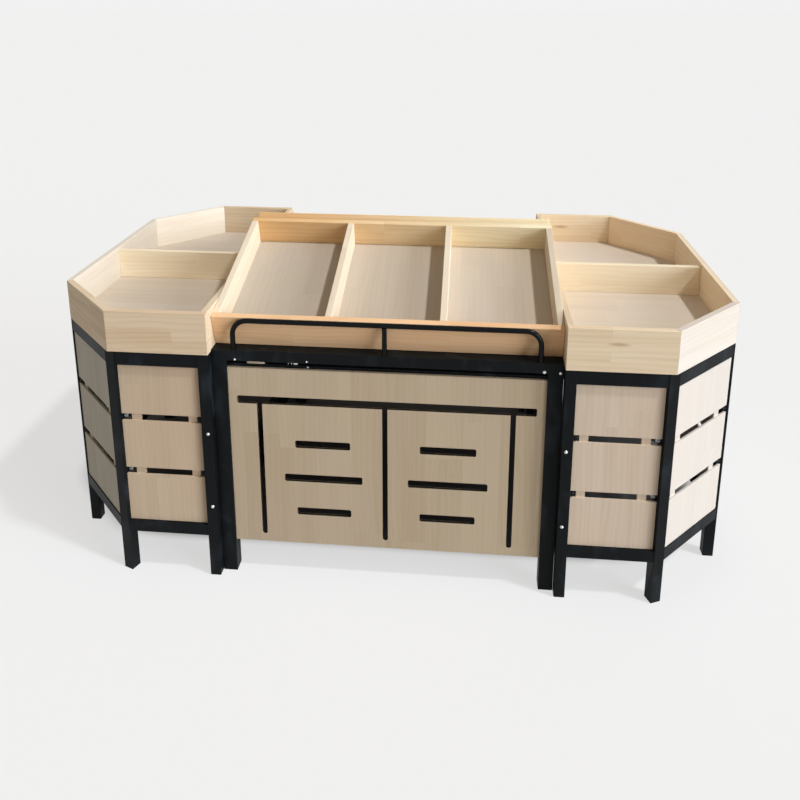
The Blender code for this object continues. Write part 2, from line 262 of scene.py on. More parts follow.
def fill_timber(w: Weaver, given: dict, made: dict) -> None:
    """Lays the nodes of sawn, edge-glued timber; X runs with the grain.

    Args:
        w: the group's weaver.
        given: the group's input sockets by name.
        made: the group's output sockets by name.
    """
    parts = w.add("SeparateXYZ")
    w.join(given["Vector"], parts.inputs[0])
    along, across, deep = parts.outputs
    strips = w.math("DIVIDE", across, given["Strip Width"])
    row = w.add("TexWhiteNoise", noise_dimensions="1D")
    w.join(w.math("FLOOR", strips), row.inputs["W"])
    stagger = w.math("MULTIPLY", row.outputs["Value"], 7.3)
    staves = w.math("ADD", w.math("DIVIDE", along, given["Stave Length"]), stagger)
    cell = w.add("CombineXYZ")
    w.join(w.math("FLOOR", strips), cell.inputs[0])
    w.join(w.math("FLOOR", staves), cell.inputs[1])
    chance = w.add("TexWhiteNoise", noise_dimensions="2D")
    w.join(cell.outputs[0], chance.inputs["Vector"])
    tone = chance.outputs["Value"]
    shifted = w.add("CombineXYZ")
    w.feed(shifted.inputs[0], w.math("MULTIPLY_ADD", tone, 5.3, along))
    w.feed(shifted.inputs[1], across)
    w.feed(shifted.inputs[2], w.math("MULTIPLY_ADD", tone, 2.1, deep))
    place = shifted.outputs[0]
    figure = w.ramp(w.noise(w.stretch(place, (1.3, 24.0, 24.0)), 1.0, 4.0, 0.55, 0.7), 0.34, 0.68)
    fibre = w.noise(w.stretch(place, (7.0, 330.0, 330.0)), 1.0, 3.0, 0.6)
    rings = w.add("TexWave", wave_type="BANDS", bands_direction="Y", wave_profile="SIN")
    w.feed(rings.inputs["Vector"], w.stretch(place, (0.16, 1.0, 0.6)))
    look = {"Scale": 21.0, "Distortion": 9.0, "Detail": 2.0, "Detail Scale": 0.9, "Detail Roughness": 0.45}
    for name, value in look.items():
        rings.inputs[name].default_value = value
    cathedral = w.ramp(rings.outputs["Fac"], 0.35, 1.0)
    blotch = w.ramp(w.noise(w.stretch(given["Vector"], (2.0, 4.5, 4.5)), 1.0, 2.0, 0.5), 0.40, 0.66)
    seam = w.ramp(w.math("PINGPONG", strips, 0.5), 0.0, 0.009, 1.0, 0.0)
    shade = w.math("MULTIPLY", figure, given["Figure"])
    shade = w.math("ADD", shade, w.math("MULTIPLY", cathedral, w.math("MULTIPLY", given["Figure"], 0.55)))
    shade = w.math("ADD", shade, w.math("MULTIPLY", w.math("SUBTRACT", fibre, 0.5), given["Fibre"]))
    shade = w.math("ADD", shade, w.math("MULTIPLY", w.math("SUBTRACT", tone, 0.35), given["Strip Tone"]))
    shade = w.math("ADD", shade, w.math("MULTIPLY", seam, w.math("MULTIPLY", given["Strip Tone"], 0.9)))
    limited = w.add("Clamp")
    w.join(shade, limited.inputs[0])
    timber = w.mix(limited.outputs[0], given["Light"], given["Dark"])
    timber = w.mix(w.math("MULTIPLY", blotch, given["Blush Share"]), timber, given["Blush"])
    away = w.add("VectorMath", operation="SUBTRACT")
    w.join(given["Vector"], away.inputs[0])
    w.join(given["Knot Place"], away.inputs[1])
    far = w.add("VectorMath", operation="LENGTH")
    w.join(w.stretch(away.outputs[0], (0.22, 1.0, 0.5)), far.inputs[0])
    reach = w.math("DIVIDE", far.outputs["Value"], given["Knot Size"])
    reach = w.math("ADD", reach, w.math("MULTIPLY", figure, 0.45))
    heart = w.math("MULTIPLY", w.ramp(reach, 0.35, 1.0, 1.0, 0.0), w.math("MULTIPLY_ADD", fibre, 0.7, 0.35))
    timber = w.mix(w.math("MULTIPLY", heart, 0.85), timber, given["Heart"])
    w.join(timber, made["Color"])
    rough = w.math("MULTIPLY_ADD", figure, 0.10, 0.50)
    w.join(w.math("ADD", rough, w.math("MULTIPLY", fibre, 0.12)), made["Roughness"])
    w.join(w.math("SUBTRACT", w.math("MULTIPLY", fibre, 0.8), w.math("MULTIPLY", seam, 0.5)), made["Height"])


def fill_peel(w: Weaver, given: dict, made: dict) -> None:
    """Lays the nodes of a baked powder coat: fine peel, uneven roughness, bluish reflection patches painted
    into its colour, and pale handling scuffs.

    Args:
        w: the group's weaver.
        given: the group's input sockets by name.
        made: the group's output sockets by name.
    """
    where = given["Vector"]
    peel = w.noise(where, 780.0, 2.0, 0.45)
    cloud = w.noise(where, 7.5, 3.0, 0.55, 0.4)
    scuff = w.ramp(w.noise(w.stretch(where, (1.0, 1.0, 0.35)), 46.0, 5.0, 0.62, 0.6), 0.60, 0.78)
    share = w.math("MULTIPLY", w.math("MULTIPLY", scuff, w.ramp(cloud, 0.42, 0.66)), given["Scuffs"])
    # Painted reflection: soft patches mix the coat's colour towards a paler, bluish tone.
    reflection_patch = w.ramp(w.noise(w.stretch(where, (1.0, 1.0, 0.6)), 15.0, 2.0, 0.5, 0.3), 0.50, 0.74)
    reflection_share = w.math("ADD", w.math("MULTIPLY", cloud, 0.18), w.math("MULTIPLY", reflection_patch, 0.7))
    tone = w.mix(reflection_share, given["Coat"], given["Sheen Tone"])
    w.join(w.mix(share, tone, given["Scuff Tone"]), made["Color"])
    rough = w.math("MULTIPLY_ADD", cloud, given["Unevenness"], given["Smoothness"])
    w.join(w.math("MULTIPLY_ADD", share, 0.22, rough), made["Roughness"])
    w.join(peel, made["Height"])


SURFACE = (("Color", "Color"), ("Roughness", "Float"), ("Height", "Float"))
TIMBER = Effect(
    "timber_grain",
    (
        ("Vector", "Vector"), ("Light", "Color"), ("Dark", "Color"), ("Blush", "Color"),
        ("Blush Share", "Float"), ("Strip Width", "Float"), ("Stave Length", "Float"),
        ("Strip Tone", "Float"), ("Figure", "Float"), ("Fibre", "Float"),
        ("Heart", "Color"), ("Knot Place", "Vector"), ("Knot Size", "Float"),
    ),
    SURFACE,
    fill_timber,
)
PEEL = Effect(
    "coat_peel",
    (
        ("Vector", "Vector"), ("Coat", "Color"), ("Sheen Tone", "Color"), ("Scuff Tone", "Color"),
        ("Scuffs", "Float"), ("Smoothness", "Float"), ("Unevenness", "Float"),
    ),
    SURFACE,
    fill_peel,
)


# Finishes


def fresh_material(name: str) -> tuple[bpy.types.Material, Weaver, bpy.types.Node]:
    """Makes a material with one Principled shader.

    Args:
        name: the material's name.

    Returns:
        The material, its weaver and its shader.
    """
    material = bpy.data.materials.new(name)
    material.use_nodes = True
    material.node_tree.nodes.clear()
    weaver = Weaver(material.node_tree)
    shader, output = weaver.add("BsdfPrincipled"), weaver.add("OutputMaterial")
    weaver.join(shader.outputs[0], output.inputs[0])
    return material, weaver, shader


def raise_grain(
    w: Weaver, shader: bpy.types.Node, height: bpy.types.NodeSocket, strength: float, depth: float,
) -> None:
    """Bumps a shader's normal.

    Args:
        w: the material's weaver.
        shader: the shader.
        height: the height's socket.
        strength: the bump's strength.
        depth: the bump's height in metres.
    """
    bump = w.add("Bump")
    bump.inputs["Strength"].default_value = strength
    bump.inputs["Distance"].default_value = depth
    w.join(height, bump.inputs["Height"])
    w.join(bump.outputs[0], shader.inputs["Normal"])


@dataclass(frozen=True)
class Cut:
    """How a board was cut: the grain's way, the way across it, its place in the log and its knot."""

    along: Point
    across: Point
    seed: float
    knot: Point = (9.0, 9.0, 9.0)
    knot_size: float = 0.010

    def turn(self) -> Matrix:
        """Finds the matrix whose columns run along, across and through the board.

        Returns:
            The rotation matrix.
        """
        x = Vector(self.along).normalized()
        y = Vector(self.across)
        y = (y - x * y.dot(x)).normalized()
        return Matrix((x, y, x.cross(y))).transposed()

    def origin(self) -> Vector:
        """The point of the log that the board's pattern starts from."""
        return Vector((self.seed * 1.7, self.seed * 0.913, self.seed * 0.37))

    def knot_place(self) -> Vector:
        """The knot's centre in the turned coordinates."""
        return self.turn().transposed() @ (Vector(self.knot) - self.origin())

    def mapping(self, w: Weaver) -> bpy.types.NodeSocket:
        """Turns Object coordinates so that X runs with the grain.

        Args:
            w: the material's weaver.

        Returns:
            The turned coordinates' socket.
        """
        node = w.add("Mapping", vector_type="TEXTURE")
        node.inputs["Location"].default_value = self.origin()
        node.inputs["Rotation"].default_value = self.turn().to_euler()
        w.join(w.add("TexCoord").outputs["Object"], node.inputs["Vector"])
        return node.outputs[0]


@dataclass(frozen=True)
class Grain:
    """How a kind of board is glued up, and how strongly its figure shows."""

    blush_share: float
    strip_width: float
    strip_tone: float
    figure: float
    fibre: float
    stave_length: float = 0.42
    relief: float = 0.25
    relief_depth: float = 0.0005


@dataclass(frozen=True)
class TimberFinish:
    """Oiled or lacquered timber of one tone."""

    name: str
    light: Colour
    dark: Colour
    blush: Colour
    grain: Grain
    heart: Colour = (0.42, 0.22, 0.095)
    gloss: float = 0.28

    def toned(self, share: float) -> "TimberFinish":
        """Gives a darker or paler copy of the finish; the tables use it to paint light and shade onto whole
        boards.

        Args:
            share: what its colours are multiplied by.

        Returns:
            The toned finish.
        """
        tones = {}
        for name in ("light", "dark", "blush"):
            tones[name] = tuple(part * share for part in getattr(self, name))
        return replace(self, **tones)

    def make(self, cut: Cut) -> bpy.types.Material:
        """Makes this finish for one board.

        Args:
            cut: the board's grain.

        Returns:
            The board's material.
        """
        material, w, shader = fresh_material(f"{self.name}_{cut.seed:g}")
        grain = self.grain
        timber = TIMBER.place(
            w, Vector=cut.mapping(w), Light=self.light, Dark=self.dark, Blush=self.blush,
            Blush_Share=grain.blush_share, Strip_Width=grain.strip_width, Stave_Length=grain.stave_length,
            Strip_Tone=grain.strip_tone, Figure=grain.figure, Fibre=grain.fibre,
            Heart=self.heart, Knot_Place=cut.knot_place(), Knot_Size=cut.knot_size,
        )
        w.join(self.surface(w, timber.outputs["Color"]), shader.inputs["Base Color"])
        w.join(timber.outputs["Roughness"], shader.inputs["Roughness"])
        shader.inputs["Specular IOR Level"].default_value = self.gloss
        raise_grain(w, shader, timber.outputs["Height"], grain.relief, grain.relief_depth)
        return material

    def surface(self, w: Weaver, timber: bpy.types.NodeSocket) -> bpy.types.NodeSocket:
        """Leaves the sawn timber as it is; the slotted board and the boards tinted from left to right paint
        light and shade in here.
        """
        return timber


@dataclass(frozen=True)
class SlotShadeFinish(TimberFinish):
    """Timber board with cut slots, whose walls are painted near-black: painted shade for the dark inside of
    the slots.
    """

    slot_wall_shade: Colour = (0.012, 0.009, 0.007)
    middle: float = 0.4895
    half: float = 0.0045
    half_width: float = 0.420
    low: float = 0.106
    high: float = 0.628
    shade_full_in: float = 0.0011
    shade_none_in: float = 0.0002

    def surface(self, w: Weaver, timber: bpy.types.NodeSocket) -> bpy.types.NodeSocket:
        """Paints shade onto the slots' walls, which lie inside the board's thickness and its outline.

        Args:
            w: the material's weaver.
            timber: the sawn timber's colour.

        Returns:
            The colour with painted shade on the slots' walls.
        """
        parts = w.add("SeparateXYZ")
        w.join(w.add("TexCoord").outputs["Object"], parts.inputs[0])
        depth = w.math("ABSOLUTE", w.math("SUBTRACT", w.math("ABSOLUTE", parts.outputs[1]), self.middle))
        wall = w.ramp(depth, self.half - self.shade_full_in, self.half - self.shade_none_in, 1.0, 0.0)
        wide = w.math("LESS_THAN", w.math("ABSOLUTE", parts.outputs[0]), self.half_width)
        above = w.math("GREATER_THAN", parts.outputs[2], self.low)
        tall = w.math("MULTIPLY", above, w.math("LESS_THAN", parts.outputs[2], self.high))
        # Painted shade: the slot walls are mixed towards near-black.
        return w.mix(w.math("MULTIPLY", wall, w.math("MULTIPLY", wide, tall)), timber, self.slot_wall_shade)


@dataclass(frozen=True)
class PaintedLightTintFinish(TimberFinish):
    """Timber board with painted light and shade: its colour is multiplied by a tint that changes from its
    left to its right.
    """

    ripe: Colour = (1.0, 1.0, 1.0)
    right_light_tint: Colour = (1.0, 1.0, 1.0)
    middle: float = 0.0
    reach: float = 0.46

    def surface(self, w: Weaver, timber: bpy.types.NodeSocket) -> bpy.types.NodeSocket:
        """Paints light and shade onto the board as a tint that changes from its left to its right.

        Args:
            w: the material's weaver.
            timber: the sawn timber's colour.

        Returns:
            The tinted colour.
        """
        parts = w.add("SeparateXYZ")
        w.join(w.add("TexCoord").outputs["Object"], parts.inputs[0])
        share = w.ramp(parts.outputs[0], self.middle - self.reach, self.middle + self.reach)
        return w.mix(1.0, timber, w.mix(share, self.ripe, self.right_light_tint), "MULTIPLY")


@dataclass(frozen=True)
class CoatFinish:
    """Baked powder coat on steel."""

    name: str
    coat: Colour
    painted_reflection_tone: Colour
    scuff_tone: Colour
    scuffs: float
    smoothness: float
    unevenness: float
    gloss: float
    relief: float
    relief_depth: float = 0.0002

    def make(self) -> bpy.types.Material:
        """Makes the finish, or finds it.

        Returns:
            The material.
        """
        found = bpy.data.materials.get(self.name)
        if found:
            return found
        material, w, shader = fresh_material(self.name)
        peel = PEEL.place(
            w, Vector=w.add("TexCoord").outputs["Object"], Coat=self.coat, Sheen_Tone=self.painted_reflection_tone,
            Scuff_Tone=self.scuff_tone, Scuffs=self.scuffs, Smoothness=self.smoothness,
            Unevenness=self.unevenness,
        )
        w.join(peel.outputs["Color"], shader.inputs["Base Color"])
        w.join(peel.outputs["Roughness"], shader.inputs["Roughness"])
        shader.inputs["Specular IOR Level"].default_value = self.gloss
        raise_grain(w, shader, peel.outputs["Height"], self.relief, self.relief_depth)
        return material


@dataclass(frozen=True)
class ZincFinish:
    """Bright zinc plating with a faint mottle."""

    name: str
    light: Colour
    dark: Colour
    mottle_scale: float = 240.0
    relief: float = 0.12
    relief_depth: float = 0.0002

    def make(self) -> bpy.types.Material:
        """Makes the finish, or finds it.

        Returns:
            The material.
        """
        found = bpy.data.materials.get(self.name)
        if found:
            return found
        material, w, shader = fresh_material(self.name)
        where = w.add("TexCoord").outputs["Object"]
        mottle = w.noise(where, self.mottle_scale, 3.0, 0.6)
        w.join(w.mix(w.ramp(mottle, 0.35, 0.65), self.light, self.dark), shader.inputs["Base Color"])
        w.join(w.math("MULTIPLY_ADD", mottle, 0.22, 0.20), shader.inputs["Roughness"])
        shader.inputs["Metallic"].default_value = 1.0
        raise_grain(w, shader, mottle, self.relief, self.relief_depth)
        return material


# The second colour of each coat is the tone of its painted reflection patches.
FRAME_COAT = CoatFinish(
    "black_frame_coat", (0.0024, 0.0033, 0.0038), (0.0190, 0.0240, 0.0290), (0.040, 0.050, 0.058),
    scuffs=0.60, smoothness=0.36, unevenness=0.24, gloss=0.10, relief=0.16,
)
GUARD_COAT = CoatFinish(
    "black_guard_coat", (0.0020, 0.0022, 0.0024), (0.0045, 0.0050, 0.0054), (0.020, 0.022, 0.024),
    scuffs=0.30, smoothness=0.18, unevenness=0.14, gloss=0.13, relief=0.10,
)
ZINC = ZincFinish("bright_zinc", (0.80, 0.80, 0.78), (0.58, 0.58, 0.57))
DULL_ZINC = ZincFinish("dull_zinc", (0.34, 0.35, 0.35), (0.20, 0.21, 0.21))

LIVELY_PINE = Grain(blush_share=0.30, strip_width=0.130, strip_tone=0.16, figure=0.42, fibre=0.30)
CALM_PINE = replace(LIVELY_PINE, strip_tone=0.12, figure=0.34, fibre=0.26)
RED_PINE = replace(LIVELY_PINE, blush_share=0.40, figure=0.40, fibre=0.28)
FLOOR_STRIPS = Grain(blush_share=0.40, strip_width=0.092, strip_tone=0.32, figure=0.24, fibre=0.18)
BEECH = Grain(blush_share=0.40, strip_width=0.070, strip_tone=0.34, figure=0.30, fibre=0.18)
WIDE_BEECH = Grain(blush_share=0.40, strip_width=0.100, strip_tone=0.46, figure=0.26, fibre=0.14)
QUIET_BEECH = Grain(blush_share=0.30, strip_width=0.070, strip_tone=0.18, figure=0.22, fibre=0.16)

TRAY_WALL = TimberFinish(
    "tray_wall_pine", (0.87, 0.735, 0.535), (0.69, 0.50, 0.30), (0.85, 0.66, 0.44), LIVELY_PINE,
)
# Painted shade: a darker, slightly redder copy of the tray wall for the left table's front, where the light
# falls off.
LEFT_SHADED_WALL = TimberFinish(
    "tray_ripe_wall_pine", (0.745, 0.595, 0.418), (0.590, 0.410, 0.240), (0.730, 0.540, 0.350), LIVELY_PINE,
)
LIT_WALL = TimberFinish(
    "tray_lit_wall_pine", (0.748, 0.692, 0.622), (0.635, 0.535, 0.435), (0.738, 0.652, 0.540), CALM_PINE,
)
# Painted light: paler on the inner face, which is in shade, and darker on the outer face, which faces the
# light.
SIDE_WALL = PaintedLightTintFinish(
    "tray_side_wall_pine", TRAY_WALL.light, TRAY_WALL.dark, TRAY_WALL.blush, LIVELY_PINE,
    ripe=(1.10, 1.12, 1.18), right_light_tint=(0.85, 0.87, 0.91), middle=0.9465, reach=0.0025,
)
# Painted highlight: a paler, greyer copy of the tray wall for the left table's walls that face the light.
HIGHLIGHT_WALL = TimberFinish(
    "tray_highlight_wall_pine", (0.92, 0.85, 0.73), (0.80, 0.68, 0.54), (0.90, 0.80, 0.66), CALM_PINE,
)
# Painted bounce light: a paler, warmer copy of the tray wall for the right table's back chamfer, whose inner
# face is in shade.
BOUNCE_LIT_WALL = TimberFinish(
    "tray_bounce_lit_wall_pine", (0.96, 0.79, 0.58), (0.82, 0.60, 0.38), (0.93, 0.72, 0.49),
    replace(LIVELY_PINE, strip_tone=0.14, figure=0.40),
)
TRAY_FLOOR = TimberFinish(
    "tray_floor_board", (0.76, 0.66, 0.535), (0.61, 0.51, 0.40), (0.68, 0.61, 0.545), FLOOR_STRIPS,
)
# Painted shade: darker on the left and paler on the right, the side the light comes from.
SLOPE_FLOOR = PaintedLightTintFinish(
    "slope_floor_board", (0.608, 0.528, 0.428), (0.488, 0.408, 0.320), (0.544, 0.488, 0.436), FLOOR_STRIPS,
    ripe=(0.90, 0.90, 0.89), right_light_tint=(1.06, 1.05, 1.03),
)
DIVIDER = TimberFinish(
    "tray_divider_pine", (0.94, 0.835, 0.645), (0.79, 0.63, 0.42), (0.93, 0.79, 0.54), CALM_PINE,
)
SLOPE_INNER = TimberFinish(
    "slope_divider_pine", (0.838, 0.742, 0.592), (0.69, 0.54, 0.37), (0.828, 0.697, 0.49),
    replace(CALM_PINE, figure=0.32),
)
LOW_WALL = TimberFinish(
    "slope_low_wall_pine", (0.91, 0.615, 0.355), (0.73, 0.42, 0.210), (0.88, 0.54, 0.305),
    replace(RED_PINE, strip_tone=0.14, figure=0.38),
)
# Painted shade: darker and oranger on the left, paler and bluer on the right, the side the light comes from.
RIDGE_WALL = PaintedLightTintFinish(
    "slope_ridge_wall_pine", (0.95, 0.705, 0.425), (0.76, 0.48, 0.240), (0.92, 0.62, 0.350), RED_PINE,
    ripe=(0.86, 0.76, 0.61), right_light_tint=(1.0, 1.22, 1.42),
)
SLAT = TimberFinish(
    "slat_beech", (0.70, 0.575, 0.445), (0.56, 0.435, 0.315), (0.72, 0.54, 0.41), BEECH,
)
# Painted shade: a darker copy of the slat beech for the left table's front panels, where the light falls off.
SLAT_SHADED = TimberFinish(
    "slat_shaded_beech", (0.590, 0.466, 0.330), (0.465, 0.350, 0.235), (0.605, 0.435, 0.305), BEECH,
)
# Painted highlight: a paler, greyer copy of the slat beech for the right table's chamfer and side panels,
# which face the light.
SLAT_LIT = TimberFinish(
    "slat_lit_beech", (0.670, 0.615, 0.552), (0.583, 0.528, 0.460), (0.695, 0.615, 0.537), QUIET_BEECH,
)
# Painted shade: a darker, greyer copy of the slat beech for the left table's chamfer and side panels, which
# face away from the light.
SLAT_DEEP_SHADE = TimberFinish(
    "slat_deep_shade_beech", (0.470, 0.430, 0.350), (0.40, 0.360, 0.280), (0.48, 0.42, 0.34),
    replace(QUIET_BEECH, strip_tone=0.22, figure=0.24),
)
# Painted shade: the slotted board's slot walls are coloured near-black.
SLOT_BOARD = SlotShadeFinish(
    "slotted_board_beech", (0.538, 0.430, 0.297), (0.416, 0.312, 0.196), (0.513, 0.400, 0.297), WIDE_BEECH,
)


# Piece making


def ease_edges(obj: bpy.types.Object, width: float, segments: int = 2) -> None:
    """Rounds a CAD node's sharp edges with modifiers.

    Args:
        obj: the node's object.
        width: the rounding's width in metres.
        segments: the rounding's faces.
    """
    weld = obj.modifiers.new("weld", "WELD")
    weld.merge_threshold = 0.00002
    merge = obj.modifiers.new("flat_faces", "DECIMATE")
    merge.decimate_type = "DISSOLVE"
    merge.angle_limit = math.radians(0.5)
    bevel = obj.modifiers.new("eased_edges", "BEVEL")
    bevel.width = width
    bevel.segments = segments
    bevel.limit_method = "ANGLE"
    bevel.angle_limit = math.radians(32)
    bevel.use_clamp_overlap = True


def wear(node: str, material: bpy.types.Material, width: float) -> None:
    """Gives a CAD node its material and eased edges.

    Args:
        node: the node's name.
        material: its material.
        width: how far its edges are rounded, in metres.
    """
    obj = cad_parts[node]
    obj.data.materials.clear()
    obj.data.materials.append(material)
    ease_edges(obj, width)
    LOG.info("%s wears %s", node, material.name)


def settle(
    bm: bmesh.types.BMesh,
    name: str,
    material: bpy.types.Material,
    smooth: float = 40.0,
) -> bpy.types.Object:
    """Turns a bmesh into a piece that rides on the rack.

    Args:
        bm: the bmesh, which is freed.
        name: the piece's name.
        material: its material.
        smooth: edges flatter than this many degrees are shaded smooth.

    Returns:
        The piece's object.
    """
    bmesh.ops.remove_doubles(bm, verts=bm.verts, dist=1e-6)
    bmesh.ops.recalc_face_normals(bm, faces=bm.faces)
    limit = math.radians(smooth)
    for face in bm.faces:
        face.smooth = True
    for edge in bm.edges:
        edge.smooth = len(edge.link_faces) == 2 and edge.calc_face_angle(0.0) < limit
    mesh = bpy.data.meshes.new(name)
    bm.to_mesh(mesh)
    bm.free()
    mesh.materials.append(material)
    obj = bpy.data.objects.new(name, mesh)
    bpy.context.scene.collection.objects.link(obj)
    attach(obj, RACK)
    LOG.info("%s rides on %s", name, RACK)
    return obj


def turned(
    bm: bmesh.types.BMesh, profile: Sequence[tuple[float, float]], place: Matrix, steps: int = 20,
) -> None:
    """Spins a profile into a turned solid and puts it in place.

    Args:
        bm: the bmesh it goes into.
        profile: radius and height pairs, from axis to axis.
        place: where the solid's axis, its Z, stands.
        steps: its sides.
    """
    points = [bm.verts.new((radius, 0.0, height)) for radius, height in profile]
    edges = [bm.edges.new(pair) for pair in zip(points, points[1:])]
    bmesh.ops.spin(
        bm, geom=points + edges, cent=(0, 0, 0), axis=(0, 0, 1), angle=math.tau, steps=steps, use_merge=True,
    )
    known = [v for v in bm.verts if v.tag is False]
    bmesh.ops.transform(bm, matrix=place, verts=known)
    for vert in bm.verts:
        vert.tag = True


def box_solid(bm: bmesh.types.BMesh, corner: Point, across: Point, ease: float) -> None:
    """Adds a box with rounded edges.

    Args:
        bm: the bmesh it goes into.
        corner: one of its corners.
        across: the corner that lies across from it.
        ease: the rounding's width.
    """
    made = bmesh.ops.create_cube(bm, size=1.0)["verts"]
    size = [abs(end - start) for start, end in zip(corner, across)]
    centre = (Vector(across) + Vector(corner)) / 2
    bmesh.ops.transform(bm, matrix=Matrix.Translation(centre) @ Matrix.Diagonal((*size, 1.0)), verts=made)
    edges = list({edge for vert in made for edge in vert.link_edges})
    bmesh.ops.bevel(
        bm, geom=edges, offset=ease, offset_type="OFFSET", segments=2, profile=0.5, affect="EDGES",
        material=-1,
    )
    for vert in bm.verts:
        vert.tag = True


def facing(point: Point, way: Point) -> Matrix:
    """Stands a turned solid's axis on a point.

    Args:
        point: the foot of the axis.
        way: the axis's direction.

    Returns:
        The placing matrix.
    """
    turn = Vector(way).to_track_quat("Z", "Y").to_matrix().to_4x4()
    return Matrix.Translation(point) @ turn


def button_head(
    bm: bmesh.types.BMesh, point: Point, way: Point, radius: float = 0.0040, height: float = 0.0032,
) -> None:
    """Adds a round-headed bolt on a thin washer, with a socket in its head.

    Args:
        bm: the bmesh it goes into.
        point: where the washer touches.
        way: the direction that the head points in.
        radius: the head's radius.
        height: the head's height.
    """
    washer, thick = radius * 1.22, 0.0010
    profile = [
        (0, 0), (washer, 0), (washer, thick * 0.7), (washer * 0.95, thick),
        (radius, thick), (radius, thick + height * 0.35), (radius * 0.86, thick + height * 0.75),
        (radius * 0.62, thick + height), (radius * 0.42, thick + height),
        (radius * 0.40, thick + height * 0.4), (0, thick + height * 0.3),
    ]
    turned(bm, profile, facing(point, way))


def weld_bead(bm: bmesh.types.BMesh, start: Point, end: Point, radius: float, ripples: int = 7) -> None:
    """Adds a rippled weld bead along a line.

    Args:
        bm: the bmesh it goes into.
        start: the bead's first end.
        end: its second end.
        radius: its radius.
        ripples: its ripples.
    """
    length = (Vector(end) - Vector(start)).length
    steps = ripples * 2
    profile = [(0.0, 0.0)]
    for step in range(steps + 1):
        share = step / steps
        swell = radius * (1.0 if step % 2 else 0.82) * min(1.0, 0.55 + 3.0 * min(share, 1 - share))
        profile.append((swell, length * share))
    profile.append((0.0, length))
    turned(bm, profile, facing(start, Vector(end) - Vector(start)), 12)


def faces_of(made: Iterable[object]) -> list[bmesh.types.BMFace]:
    """Picks the faces out of what an operator made."""
    return [item for item in made if isinstance(item, bmesh.types.BMFace)]


def round_cap(bm: bmesh.types.BMesh, place: Point, radius: float, segments: int) -> list[bmesh.types.BMFace]:
    """Lays the level round face that a tube or wire is drawn out from.

    Args:
        bm: the bmesh it goes into.
        place: its middle.
        radius: its radius.
        segments: its sides.

    Returns:
        The face, in a list.
    """
    ring = bmesh.ops.create_circle(bm, cap_ends=True, segments=segments, radius=radius)["verts"]
    bmesh.ops.translate(bm, verts=ring, vec=place)
    return [face for face in bm.faces if all(vert in ring for vert in face.verts)]


# End tables


LUG_PROFILE: tuple[tuple[float, float], ...] = (
    (0, -0.010), (0.0050, -0.010), (0.0050, 0.0035), (0.0062, 0.0045),
    (0.0062, 0.0085), (0.0048, 0.0110), (0.0022, 0.0122), (0, 0.0126),
)


